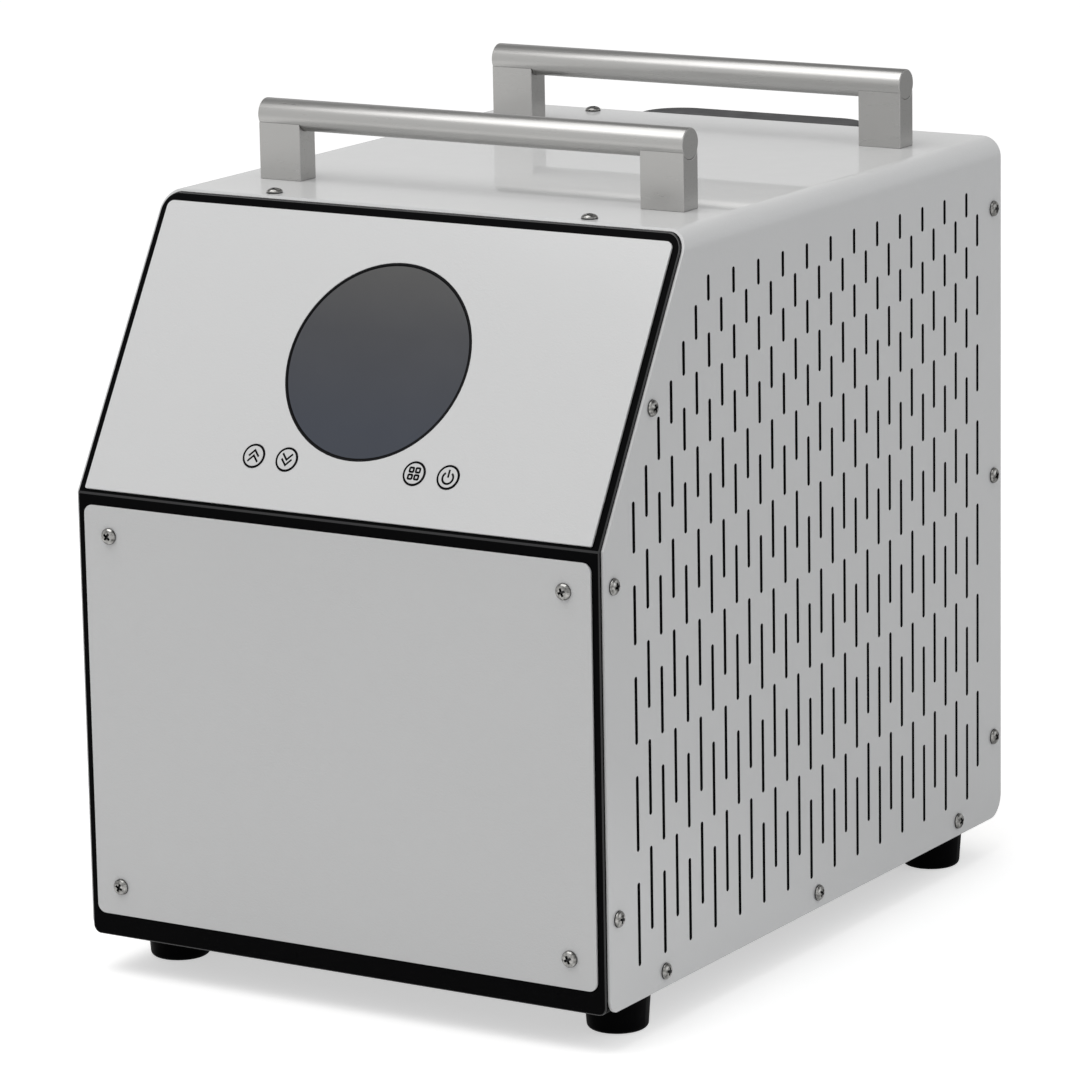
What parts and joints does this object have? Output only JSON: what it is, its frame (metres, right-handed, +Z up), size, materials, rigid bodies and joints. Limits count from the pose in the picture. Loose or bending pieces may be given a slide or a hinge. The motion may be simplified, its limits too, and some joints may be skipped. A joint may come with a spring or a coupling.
{
  "type": "ice bath chiller",
  "caption": "Free-standing water chiller for an ice bath: slotted hood, leaning display panel, two bar handles, rubber feet and rear water ports.",
  "frame": {"origin": "middle of the overall box, on the surface that the feet stand on", "axes": "+X to the right, +Y backwards from the front plate to the rear ports, +Z up"},
  "size_m": [0.3538, 0.5152, 0.4906],
  "materials": {
    "white_coat": "satin, fine orange peel",
    "black_coat": "satin",
    "black_plastic": "fine moulded grain",
    "seal_rubber": "matt",
    "foot_rubber": "matt",
    "hose_rubber": "matt",
    "dark_glass": "glossy, dark display behind",
    "board_green": "solder mask",
    "key_white": "satin",
    "brushed_aluminium": "brushed and clear anodised",
    "bright_screws": "bright zinc",
    "fin_aluminium": "plain",
    "copper": "drawn copper",
    "black_can": "gloss black",
    "steel_tank": "plain",
    "foam": "closed-cell foam",
    "impeller_plastic": "moulded",
    "brass_fitting": "turned",
    "rocker_red": "moulded"
  },
  "bodies": {
    "cabinet": {"base_tray": "black_coat", "front_frame": "black_coat", "hood": "white_coat", "rear_panel": "white_coat", "front_plate": "white_coat", "control_panel": "white_coat", "display_seal": "seal_rubber", "display_lens": "dark_glass", "display_module": "black_plastic", "board_bracket": "black_coat", "panel_nuts": "bright_screws", "control_board": "board_green", "front_handle_bar": "brushed_aluminium", "front_handle_posts": "brushed_aluminium", "rear_handle_bar": "brushed_aluminium", "rear_handle_posts": "brushed_aluminium", "handle_bolts": "bright_screws", "feet": "foot_rubber", "foot_bolts": "bright_screws", "plate_screws": "bright_screws", "side_screws": "bright_screws", "top_screws": "bright_screws", "cowl_screws": "bright_screws", "rear_cowl": "black_plastic", "fan_shroud": "black_plastic", "fan_motor": "black_can", "condenser_fins": "fin_aluminium", "condenser_tubes": "copper", "compressor": "black_can", "terminal_cover": "black_plastic", "compressor_grommets": "seal_rubber", "compressor_bolts": "bright_screws", "run_capacitor": "fin_aluminium", "evaporator": "steel_tank", "foam_jacket": "foam", "filter_drier": "copper", "discharge_line": "copper", "suction_line": "copper", "liquid_line": "copper", "capillary_line": "copper", "pump_body": "black_plastic", "pump_cover": "black_plastic", "pump_motor": "black_can", "pump_bolts": "bright_screws", "inlet_hose": "hose_rubber", "transfer_hose": "hose_rubber", "outlet_hose": "hose_rubber", "water_inlet": "brass_fitting", "water_outlet": "brass_fitting", "port_nuts": "brass_fitting", "power_supply": "fin_aluminium", "mains_inlet": "black_plastic", "switch_housing": "black_plastic"},
    "fan": {"fan_rotor": "black_plastic"},
    "impeller": {"pump_impeller": "impeller_plastic"},
    "rocker": {"rocker_switch": "rocker_red"},
    "up_key": {"key_up": "key_white"},
    "down_key": {"key_down": "key_white"},
    "menu_key": {"key_menu": "key_white"},
    "power_key": {"key_power": "key_white"}
  },
  "joints": [
    {"name": "fan_spin", "type": "hinge", "parent": "cabinet", "child": "fan", "pos_m": [0, 0.18006, 0.3435], "axis": [0, 1, 0], "continuous": true},
    {"name": "impeller_spin", "type": "hinge", "parent": "cabinet", "child": "impeller", "pos_m": [0.06, -0.10334, 0.07652], "axis": [1, 0, 0], "continuous": true},
    {"name": "rocker_tilt", "type": "hinge", "parent": "cabinet", "child": "rocker", "pos_m": [-0.15001, 0.21665, 0.085], "axis": [1, 0, 0], "range_deg": [0, 20]},
    {"name": "up_key_press", "type": "slide", "parent": "cabinet", "child": "up_key", "axis": [0, 0.8573, -0.5149], "range_m": [0, 0.0008], "stiffness_N_per_m": 1200},
    {"name": "down_key_press", "type": "slide", "parent": "cabinet", "child": "down_key", "axis": [0, 0.8573, -0.5149], "range_m": [0, 0.0008], "stiffness_N_per_m": 1200},
    {"name": "menu_key_press", "type": "slide", "parent": "cabinet", "child": "menu_key", "axis": [0, 0.8573, -0.5149], "range_m": [0, 0.0008], "stiffness_N_per_m": 1200},
    {"name": "power_key_press", "type": "slide", "parent": "cabinet", "child": "power_key", "axis": [0, 0.8573, -0.5149], "range_m": [0, 0.0008], "stiffness_N_per_m": 1200}
  ]
}
